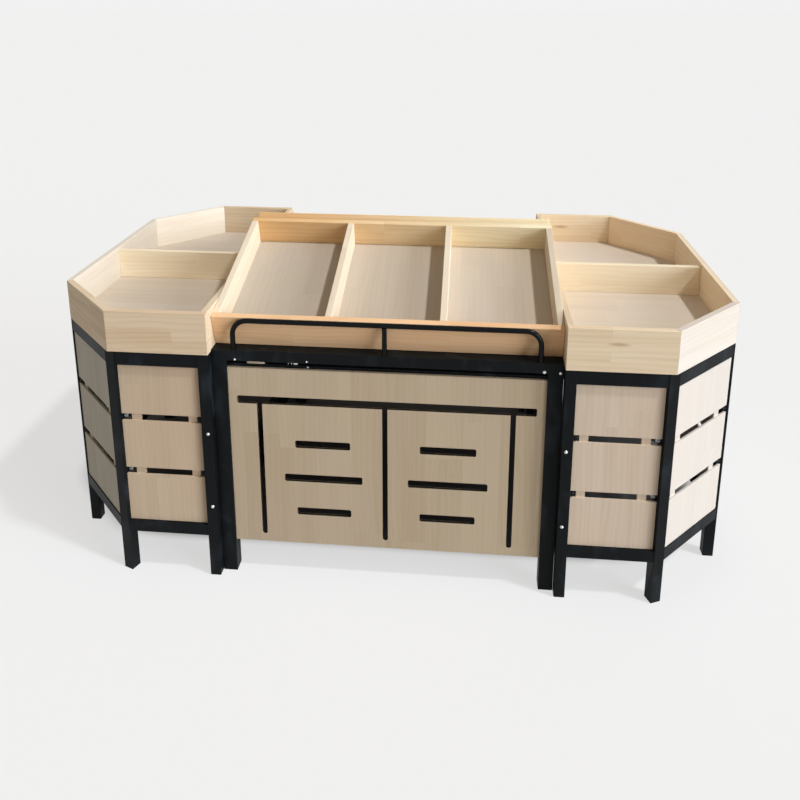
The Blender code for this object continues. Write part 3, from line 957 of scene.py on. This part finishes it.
@dataclass
class EndTable:
    """A half-octagon end table: coated frame, slat panels, level tray and its small fittings."""

    side: Side
    slat: TimberFinish = SLAT
    chamfer_slat: TimberFinish = SLAT_LIT
    wall_shade_tone: float = 1.0
    boards: dict[str, TimberFinish] = field(default_factory=dict)
    knots: dict[str, tuple[Point, float]] = field(default_factory=dict)
    slat_seed: float = 3.1
    slat_step: float = 1.7
    wall_seed: float = 11.3
    wall_step: float = 2.3
    floor_seed: float = 35.2
    divider_step: float = 4.4
    inner_x: float = 0.467
    front_len: float = 0.277
    chamfer: float = 0.206
    half_depth: float = 0.525
    tube: float = 0.030
    corner_in: float = 0.0185
    low_rail_top: float = 0.162
    top_rail_low: float = 0.642
    frame_ease: float = 0.0022
    board_ease: float = 0.0013
    floor_ease: float = 0.0008
    gap_heights: tuple[float, float] = (0.3175, 0.4828)
    bolt_heights: tuple[float, float] = (0.223, 0.448)
    bolt_in: float = 0.0122
    bracket_run: float = 0.017
    bracket_plate: float = 0.002
    bracket_in: float = 0.0185
    bracket_deep: float = 0.0345
    bracket_below: float = 0.0080
    bracket_above: float = 0.0075
    bracket_clear: float = 0.0005
    bracket_bend: float = 0.0001
    bracket_ease: float = 0.0006
    bracket_bolt: tuple[float, float] = (0.0034, 0.0020)
    weld_in: float = 0.004
    weld_length: float = 0.006
    weld_radius: float = 0.0034
    weld_in_post: float = 0.0002
    weld_in_rail: float = 0.0005

    @property
    def sign(self) -> int:
        """The way the table points along X."""
        return self.side.value

    def at(self, face: Face, x: float, y: float, z: float) -> Point:
        """Mirrors a place on the right table's back to this table and a face."""
        return (self.sign * x, face.value * y, z)

    def ways(self) -> dict[str, Point]:
        """Finds the level direction that each wall and panel runs along.

        Returns:
            Directions by the wall's name; the left table mirrors the right one.
        """
        turn = self.sign
        half = math.sqrt(0.5)
        return {
            "front": (1, 0, 0),
            "front_chamfer": (half, half * turn, 0),
            "side": (0, 1, 0),
            "back_chamfer": (half, -half * turn, 0),
            "back": (1, 0, 0),
            "inner": (0, 1, 0),
        }

    def build(self) -> None:
        """Dresses the frame, panels and tray, and adds the fittings."""
        self.dress_frame()
        self.dress_panels()
        self.dress_tray()
        self.add_bolts()
        self.add_lugs()
        self.add_brackets()
        self.add_welds()

    def dress_frame(self) -> None:
        """Gives the four frames their coat."""
        for part in ("inner_ladder", "outer_ladder", "front_corner", "back_corner"):
            wear(f"frame_{self.side.word}_{part}", FRAME_COAT.make(), self.frame_ease)

    def dress_panels(self) -> None:
        """Gives the slat panels their timber, with upright grain."""
        for order, (place, way) in enumerate(list(self.ways().items())[:5]):
            finish = self.chamfer_slat if "chamfer" in place or place == "side" else self.slat
            cut = Cut((0, 0, 1), way, self.slat_seed + order * self.slat_step)
            wear(f"slats_{self.side.word}_{place}", finish.make(cut), self.board_ease)

    def dress_tray(self) -> None:
        """Gives the tray's walls, floor and divider their timber."""
        for order, (place, way) in enumerate(self.ways().items()):
            seed = self.wall_seed + order * self.wall_step
            cut = Cut(way, (0, 0, 1), seed, *self.knots.get(place, ()))
            finish = self.boards.get(place, TRAY_WALL.toned(self.wall_shade_tone))
            wear(f"tray_{self.side.word}_{place}_wall", finish.make(cut), self.board_ease)
        floor, divider = self.boards.get("floor", TRAY_FLOOR), self.boards.get("divider", DIVIDER)
        floor_cut = Cut((1, 0, 0), (0, 1, 0), self.floor_seed)
        divider_cut = Cut((1, 0, 0), (0, 0, 1), self.floor_seed + self.divider_step)
        wear(f"tray_{self.side.word}_floor", floor.make(floor_cut), self.floor_ease)
        wear(f"tray_{self.side.word}_divider", divider.make(divider_cut), self.board_ease)

    def add_bolts(self) -> None:
        """Adds the bolts that hold the tables together, on the fronts of the inner posts."""
        for face in Face:
            bm = bmesh.new()
            for height in self.bolt_heights:
                foot = self.at(face, self.inner_x + self.bolt_in, self.half_depth, height)
                button_head(bm, foot, (0, face.value, 0))
            settle(bm, f"bolts_{self.side.word}_{face.word}", ZINC.make())

    def add_lugs(self) -> None:
        """Adds the coated clamp lugs that hold the panels, on the posts at the gaps between slats."""
        half = math.sqrt(0.5)
        reach = self.inner_x + self.front_len + self.chamfer
        lugs = (
            (reach - self.tube * 0.5, self.half_depth - self.chamfer, (-half, half, 0)),
            (self.inner_x + self.tube, self.half_depth - self.tube * 0.45, (1, 0, 0)),
        )
        for face in Face:
            bm = bmesh.new()
            for height in self.gap_heights:
                for x, y, way in lugs:
                    place = facing(self.at(face, x, y, height), self.at(face, *way))
                    turned(bm, LUG_PROFILE, place, 16)
            settle(bm, f"lugs_{self.side.word}_{face.word}", FRAME_COAT.make())

    def add_brackets(self) -> None:
        """Adds the bent zinc brackets that show in the gaps between slats, beside the turned corner posts."""
        end = self.inner_x + self.front_len - self.corner_in
        start = end - self.bracket_run
        front = self.half_depth - self.bracket_in
        back = front - self.bracket_plate
        deep = self.half_depth - self.bracket_deep
        plates = (
            ((start, back), (end - self.bracket_clear, front)),
            ((start, deep), (start + self.bracket_plate, back - self.bracket_bend)),
        )
        for face in Face:
            bm = bmesh.new()
            for height in self.gap_heights:
                for near, far in plates:
                    corner = self.at(face, *near, height - self.bracket_below)
                    across = self.at(face, *far, height + self.bracket_above)
                    box_solid(bm, corner, across, self.bracket_ease)
                head = self.at(face, end - self.bracket_run / 2, front, height)
                button_head(bm, head, (0, face.value, 0), *self.bracket_bolt)
            settle(bm, f"brackets_{self.side.word}_{face.word}", DULL_ZINC.make())

    def add_welds(self) -> None:
        """Adds the weld beads in the corners of the straight panels' openings."""
        deep = self.half_depth - self.weld_in
        corner = self.inner_x + self.front_len - self.corner_in
        for face in Face:
            bm = bmesh.new()
            for height in (self.low_rail_top - self.weld_in_rail, self.top_rail_low + self.weld_in_rail):
                for x in (self.inner_x + self.tube - self.weld_in_post, corner + self.weld_in_post):
                    start = self.at(face, x, deep, height)
                    end = self.at(face, x, deep - self.weld_length, height)
                    weld_bead(bm, start, end, self.weld_radius)
            settle(bm, f"welds_{self.side.word}_{face.word}", FRAME_COAT.make())


# Centre table


@dataclass
class CentreTable:
    """The centre table: coated portals and ties, slotted boards, sloping trays, guard rails and fittings."""

    slope: float = math.radians(17.5)
    lit_wall_tone: float = 0.86
    board_seeds: tuple[float, float] = (51.3, 57.9)
    front_seed: float = 61.1
    back_seed: float = 83.4
    wall_step: float = 1.9
    inner_shift: float = 5.3
    inner_step: float = 2.1
    floor_shift: float = 15.7
    packing_seed: float = 91.3
    frame_ease: float = 0.0010
    slot_board_ease: float = 0.0010
    board_ease: float = 0.0013
    floor_ease: float = 0.0008
    guard_radius: float = 0.007
    post_radius: float = 0.0067
    guard_half: float = 0.4069
    guard_y: float = 0.493
    guard_foot: float = 0.6863
    guard_top: float = 0.7695
    guard_bend: float = 0.040
    board_rail_front: float = 0.4847
    board_rail_top: float = 0.642
    rail_low: float = 0.656
    rail_back: float = 0.460
    leg_front: float = 0.500
    leg_bolts: tuple[Point, ...] = (
        (-0.402, 0.6605, 0.0024), (-0.207, 0.6622, 0.0022),
        (0.4168, 0.6605, 0.0036), (0.4578, 0.6590, 0.0032),
    )
    leg_bolt_rise: float = 0.7
    rail_bolt: Point = (-0.2073, 0.6385, 0.0022)
    rail_bolt_rise: float = 0.0016
    strip_half: float = 0.42
    strip_thick: float = 0.006
    strip_span: tuple[float, float] = (0.004, 0.0296)
    strip_ease: float = 0.0003
    packing_x: tuple[float, float] = (-0.3737, -0.3266)
    packing_y: tuple[float, float] = (0.0005, 0.0215)
    packing_high: float = 0.0072
    packing_ease: float = 0.0008
    bracket_x: tuple[float, float] = (-0.2466, -0.2356)
    bracket_upright_y: tuple[float, float] = (0.0020, 0.0045)
    bracket_foot_y: tuple[float, float] = (0.0046, 0.0180)
    bracket_foot_high: float = 0.0024
    bracket_ease: float = 0.0004
    clip_x: float = -0.2567
    clip_y: float = 0.004
    clip_bend: float = 0.005
    wire_radius: float = 0.0012
    clear: float = 0.0002
    bracket_clear: float = 0.0003

    def build(self) -> None:
        """Dresses the table's nodes and adds its rails and fittings."""
        self.dress_frame()
        self.dress_boards()
        for face in Face:
            self.dress_tray(face)
            self.add_guard(face)
            self.add_bolts(face)
            self.add_rest_and_shade_strip(face)
            self.add_packing(face)
            self.add_bracket(face)

    def dress_frame(self) -> None:
        """Gives the portals, ties and ridge their coat."""
        ties = [f"{side.word}_{level}_tie" for level in ("top", "low") for side in Side]
        for part in ("front_portal", "back_portal", *ties, "ridge"):
            wear(f"frame_centre_{part}", FRAME_COAT.make(), self.frame_ease)

    def dress_boards(self) -> None:
        """Gives the slotted boards their timber, with upright grain."""
        for face, seed in zip(Face, self.board_seeds):
            cut = Cut((0, 0, 1), (1, 0, 0), seed)
            wear(f"board_{face.word}", SLOT_BOARD.make(cut), self.slot_board_ease)

    def dress_tray(self, face: Face) -> None:
        """Gives one sloping tray its timber.

        Args:
            face: the face the tray slopes to.
        """
        up = (0.0, -face.value * math.cos(self.slope), math.sin(self.slope))
        square = (0.0, face.value * math.sin(self.slope), math.cos(self.slope))
        seed = self.front_seed if face is Face.FRONT else self.back_seed
        for order, (place, finish) in enumerate((("low", LOW_WALL), ("ridge", RIDGE_WALL))):
            cut = Cut((1, 0, 0), square, seed + order * self.wall_step)
            wear(f"tray_{face.word}_{place}_wall", finish.make(cut), self.board_ease)
        for order, place in enumerate(("left_wall", "right_wall", "left_divider", "right_divider")):
            # The right walls face the light; their darker copy is painted shade.
            finish = SLOPE_INNER.toned(self.lit_wall_tone) if place == "right_wall" else SLOPE_INNER
            cut = Cut(up, square, seed + self.inner_shift + order * self.inner_step)
            wear(f"tray_{face.word}_{place}", finish.make(cut), self.board_ease)
        floor_cut = Cut(up, (1, 0, 0), seed + self.floor_shift)
        wear(f"tray_{face.word}_floor", SLOPE_FLOOR.make(floor_cut), self.floor_ease)

    def add_guard(self, face: Face) -> None:
        """Adds a guard rail of bent round tube with a middle upright.

        Args:
            face: the face it guards.
        """
        bm = bmesh.new()
        y = face.value * self.guard_y
        self.bend_tube(bm, y)
        tall, radius = self.guard_top - self.guard_foot, self.post_radius
        profile = [
            (0, 0), (radius, 0), (radius, tall - 0.0075), (radius * 1.12, tall - 0.0055), (0, tall - 0.004),
        ]
        turned(bm, profile, Matrix.Translation((0, y, self.guard_foot)), 24)
        piece = settle(bm, f"guard_rail_{face.word}", GUARD_COAT.make(), 50.0)
        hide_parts(f"guard_{face.word}")

    def bend_tube(self, bm: bmesh.types.BMesh, y: float) -> None:
        """Sweeps a round section up one leg, along the top and down the other leg.

        Args:
            bm: the bmesh it goes into.
            y: the rail's place in depth.
        """
        half, bend, top = self.guard_half, self.guard_bend, self.guard_top
        leg = top - bend - self.guard_foot
        cap = round_cap(bm, (-half, y, self.guard_foot), self.guard_radius, 20)
        straights = ((0, 0, leg), (2 * (half - bend), 0, 0), (0, 0, -leg))
        bends: tuple[Optional[float], ...] = (bend - half, half - bend, None)
        for run, bend_x in zip(straights, bends):
            made = bmesh.ops.extrude_face_region(bm, geom=cap)
            bmesh.ops.delete(bm, geom=cap, context="FACES_ONLY")
            cap = faces_of(made["geom"])
            bmesh.ops.translate(bm, verts=list({vert for face in cap for vert in face.verts}), vec=run)
            if bend_x is not None:
                made = bmesh.ops.spin(
                    bm, geom=cap, cent=(bend_x, y, top - bend), axis=(0, 1, 0), angle=math.pi / 2, steps=10,
                    use_merge=False,
                )
                cap = faces_of(made["geom_last"])
        for vert in bm.verts:
            vert.tag = True

    def add_bolts(self, face: Face) -> None:
        """Adds the bolts on the portal's legs and on the rail behind the slotted board.

        Args:
            face: the portal's face.
        """
        bm = bmesh.new()
        way = (0, face.value, 0)
        for x, height, radius in self.leg_bolts:
            foot = (-face.value * x, face.value * self.leg_front, height)
            button_head(bm, foot, way, radius, radius * self.leg_bolt_rise)
        x, height, radius = self.rail_bolt
        foot = (-face.value * x, face.value * self.board_rail_front, height)
        button_head(bm, foot, way, radius, self.rail_bolt_rise)
        settle(bm, f"bolts_centre_{face.word}", ZINC.make())

    def turn_to(self, face: Face, bm: bmesh.types.BMesh) -> None:
        """Gives a piece that was made for the front half a turn, if it is for the back."""
        turn = Matrix.Diagonal((-face.value, -face.value, 1.0, 1.0))
        bmesh.ops.transform(bm, matrix=turn, verts=bm.verts)

    def add_rest_and_shade_strip(self, face: Face) -> None:
        """Adds the black strip behind the portal rail that a sloping tray's low edge rests on; its black
        fills the gap there as painted shade.

        Args:
            face: the tray's face.
        """
        bm = bmesh.new()
        start, end = (self.rail_low + share for share in self.strip_span)
        across = (self.strip_half, self.strip_thick - self.rail_back, end)
        box_solid(bm, (-self.strip_half, -self.rail_back, start), across, self.strip_ease)
        self.turn_to(face, bm)
        settle(bm, f"rest_strip_{face.word}", FRAME_COAT.make())

    def add_packing(self, face: Face) -> None:
        """Adds the timber packing strip that lies on the rail behind a slotted board.

        Args:
            face: the board's face.
        """
        bm = bmesh.new()
        front, top = -self.board_rail_front, self.board_rail_top + self.clear
        corner = (self.packing_x[0], front + self.packing_y[0], top)
        across = (self.packing_x[1], front + self.packing_y[1], top + self.packing_high)
        box_solid(bm, corner, across, self.packing_ease)
        self.turn_to(face, bm)
        cut = Cut((1, 0, 0), (0, 1, 0), self.packing_seed + face.value)
        settle(bm, f"packing_{face.word}", SLAT.make(cut))

    def add_bracket(self, face: Face) -> None:
        """Adds the zinc bracket and the wire clip that stand on the rail behind a slotted board.

        Args:
            face: the board's face.
        """
        bm = bmesh.new()
        front, top = -self.board_rail_front, self.board_rail_top + self.clear
        left, right = self.bracket_x
        for span, high in (
            (self.bracket_upright_y, self.rail_low - self.bracket_clear),
            (self.bracket_foot_y, top + self.bracket_foot_high),
        ):
            box_solid(bm, (left, front + span[0], top), (right, front + span[1], high), self.bracket_ease)
        middle = (self.clip_x, front + self.clip_y, top + self.wire_radius)
        cap = round_cap(bm, (self.clip_x - self.clip_bend, *middle[1:]), self.wire_radius, 10)
        bmesh.ops.spin(bm, geom=cap, cent=middle, axis=(0, 1, 0), angle=math.pi, steps=12, use_merge=False)
        self.turn_to(face, bm)
        settle(bm, f"bracket_{face.word}", ZINC.make())


# Stage, lamps and camera


@dataclass
class Stage:
    """The pale floor, with painted shade under the rack, and the pale backdrop.

    Each shade edge is a way out from the floor's middle, with the distances between which the painted shade
    fades.
    """

    reach: float = 60.0
    drop: float = 0.0005
    pale: Colour = (0.882, 0.882, 0.882)
    bounce: float = 0.45
    albedo: float = 0.92
    shown: float = 0.72
    # Colour of the floor under the rack: painted shade.
    painted_shade: float = 0.11
    ambient: Colour = (0.292, 0.254, 0.210)
    shade_edges: tuple[tuple[tuple[float, float], float, float], ...] = (
        ((0, -1), 0.322, 0.395), ((0, 1), 0.52, 0.69), ((-1, 0), 1.03, 1.15), ((1, 0), 0.93, 1.05),
        ((-0.7, -0.7), 0.74, 0.88), ((0.7, -0.7), 0.66, 0.80),
        ((-0.7, 0.7), 0.94, 1.08), ((0.7, 0.7), 0.86, 1.00),
    )

    def build(self) -> None:
        """Makes the floor and the world."""
        self.lay_floor()
        self.fill_world()

    def seen(self, w: Weaver) -> bpy.types.NodeSocket:
        """Tells the rays that see the pale ground from those that carry light.

        Args:
            w: the tree's weaver.

        Returns:
            A mask that is 1 for camera, glossy and transmission rays.
        """
        path = w.add("LightPath")
        seen = w.math("MAXIMUM", path.outputs["Is Camera Ray"], path.outputs["Is Glossy Ray"])
        return w.math("MAXIMUM", seen, path.outputs["Is Transmission Ray"])

    def lay_floor(self) -> None:
        """Lays the floor, pale to the camera, with the object's own shadow left on it and painted shade under
        the rack.
        """
        bm = bmesh.new()
        bmesh.ops.create_grid(bm, x_segments=2, y_segments=2, size=self.reach)
        mesh = bpy.data.meshes.new("floor")
        bm.to_mesh(mesh)
        bm.free()
        floor = bpy.data.objects.new("floor", mesh)
        floor.location = (0, 0, -self.drop)
        bpy.context.scene.collection.objects.link(floor)
        material = bpy.data.materials.new("pale_floor")
        material.use_nodes = True
        material.node_tree.nodes.clear()
        w = Weaver(material.node_tree)
        open_floor, seen = self.open_floor(w), self.seen(w)
        diffuse, glow = w.add("BsdfDiffuse"), w.add("Emission")
        ground = w.mix(seen, (self.bounce,) * 3, (self.albedo,) * 3)
        # Painted shade: under the rack the floor's colour drops to dark grey and its pale glow is taken away.
        w.join(w.mix(open_floor, (self.painted_shade,) * 3, ground), diffuse.inputs["Color"])
        w.feed(glow.inputs["Color"], self.pale)
        blend, output = w.add("MixShader"), w.add("OutputMaterial")
        w.join(w.math("MULTIPLY", w.math("MULTIPLY", seen, self.shown), open_floor), blend.inputs[0])
        w.join(diffuse.outputs[0], blend.inputs[1])
        w.join(glow.outputs[0], blend.inputs[2])
        w.join(blend.outputs[0], output.inputs[0])
        mesh.materials.append(material)

    def open_floor(self, w: Weaver) -> bpy.types.NodeSocket:
        """Tells the open floor from the floor under the rack, where shade is painted, with soft edges.

        Args:
            w: the floor's weaver.

        Returns:
            A mask that is 1 on the open floor.
        """
        painted_shade: object = 1.0
        for way, start, end in self.shade_edges:
            reach = w.add("VectorMath", operation="DOT_PRODUCT")
            w.join(w.add("TexCoord").outputs["Object"], reach.inputs[0])
            w.feed(reach.inputs[1], (*way, 0.0))
            painted_shade = w.math("MULTIPLY", painted_shade, w.ramp(reach.outputs["Value"], start, end, 1.0, 0.0))
        return w.math("SUBTRACT", 1.0, painted_shade)

    def fill_world(self) -> None:
        """Fills the world with a dim warm light that looks pale to the camera."""
        world = bpy.data.worlds.new("studio")
        world.use_nodes = True
        world.node_tree.nodes.clear()
        w = Weaver(world.node_tree)
        light, pale = w.add("Background"), w.add("Background")
        w.feed(light.inputs["Color"], self.ambient)
        w.feed(pale.inputs["Color"], self.pale)
        blend, output = w.add("MixShader"), w.add("OutputWorld")
        w.join(self.seen(w), blend.inputs[0])
        w.join(light.outputs[0], blend.inputs[1])
        w.join(pale.outputs[0], blend.inputs[2])
        w.join(blend.outputs[0], output.inputs[0])
        bpy.context.scene.world = world


@dataclass(frozen=True)
class Lamp:
    """A lamp so far away that it lights everything alike."""

    name: str
    toward: Point
    level: float
    colour: Colour
    spread: float
    away: float = 8.0

    def build(self) -> None:
        """Makes the lamp."""
        data = bpy.data.lights.new(self.name, "SUN")
        data.energy = self.level * math.pi
        data.color = self.colour
        data.angle = math.radians(self.spread)
        lamp = bpy.data.objects.new(self.name, data)
        lamp.rotation_euler = Vector(self.toward).to_track_quat("Z", "Y").to_euler()
        lamp.location = Vector(self.toward).normalized() * self.away
        bpy.context.scene.collection.objects.link(lamp)
        LOG.info("%s lights the rack", self.name)


@dataclass(frozen=True)
class PhotoCamera:
    """The photograph's camera, for a square frame of 800 pixels."""

    place: Point = (0.21286, -2.4006, 1.62043)
    turn: Point = (0.24124, 0.08943, 0.01105)
    focal: float = 793.1
    centre: tuple[float, float] = (400.0, 185.0)
    frame_px: float = 800.0
    sensor: float = 36.0
    clip: tuple[float, float] = (0.02, 200.0)

    def build(self) -> None:
        """Makes the camera and puts the scene in its hands."""
        data = bpy.data.cameras.new("photo_camera")
        data.sensor_width = self.sensor
        data.lens = self.focal / self.frame_px * data.sensor_width
        data.shift_x = (self.frame_px / 2 - self.centre[0]) / self.frame_px
        data.shift_y = (self.centre[1] - self.frame_px / 2) / self.frame_px
        data.clip_start, data.clip_end = self.clip
        camera = bpy.data.objects.new("photo_camera", data)
        axis = Vector(self.turn)
        level = Matrix(((1, 0, 0), (0, 0, -1), (0, 1, 0)))
        rows = Quaternion(axis.normalized(), axis.length).to_matrix() @ level
        basis = Matrix((rows[0], -rows[1], -rows[2])).transposed()
        camera.matrix_world = Matrix.Translation(self.place) @ basis.to_4x4()
        bpy.context.scene.collection.objects.link(camera)
        bpy.context.scene.camera = camera


LAMPS: tuple[Lamp, ...] = (
    Lamp("window_softbox", (0.885, -0.41, 0.22), 1.0, (0.91, 0.97, 1.05), 40.0),
    Lamp("ceiling_lamp", (0.50, -0.20, 0.83), 0.56, (0.97, 0.98, 1.0), 4.0),
)


def main() -> None:
    """Builds the camera, the stage, the lamps and the rack's sub-assemblies in order."""
    logging.basicConfig(level=logging.INFO, format="%(name)s: %(message)s")
    bpy.context.scene.view_settings.view_transform = "Standard"
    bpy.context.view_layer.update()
    PhotoCamera().build()
    Stage().build()
    for lamp in LAMPS:
        lamp.build()
    # Left table: darker copies of slats, walls and floor are painted shade where the light falls off; its
    # walls that face the light get the painted-highlight copy.
    EndTable(
        Side.LEFT, SLAT_SHADED, SLAT_DEEP_SHADE, wall_shade_tone=0.90,
        boards={
            "front": LEFT_SHADED_WALL, "side": HIGHLIGHT_WALL.toned(0.83), "back_chamfer": HIGHLIGHT_WALL,
            "floor": TRAY_FLOOR.toned(0.84), "divider": DIVIDER.toned(1.06),
        },
        slat_seed=3.7, wall_seed=12.2, floor_seed=31.7,
    ).build()
    # Right table: painted light on the walls: a paler chamfer wall that faces the light, a side wall tinted
    # face by face, a darker inner wall that faces the light and a paler back chamfer wall in shade.
    EndTable(
        Side.RIGHT,
        boards={
            "front_chamfer": LIT_WALL, "side": SIDE_WALL, "inner": TRAY_WALL.toned(0.92),
            "back_chamfer": BOUNCE_LIT_WALL,
        },
        knots={"front": ((0.596, -0.525, 0.7575), 0.011), "back": ((0.560, 0.507, 0.752), 0.012)},
    ).build()
    CentreTable().build()
    bpy.context.view_layer.update()


if __name__ == "__main__":
    main()
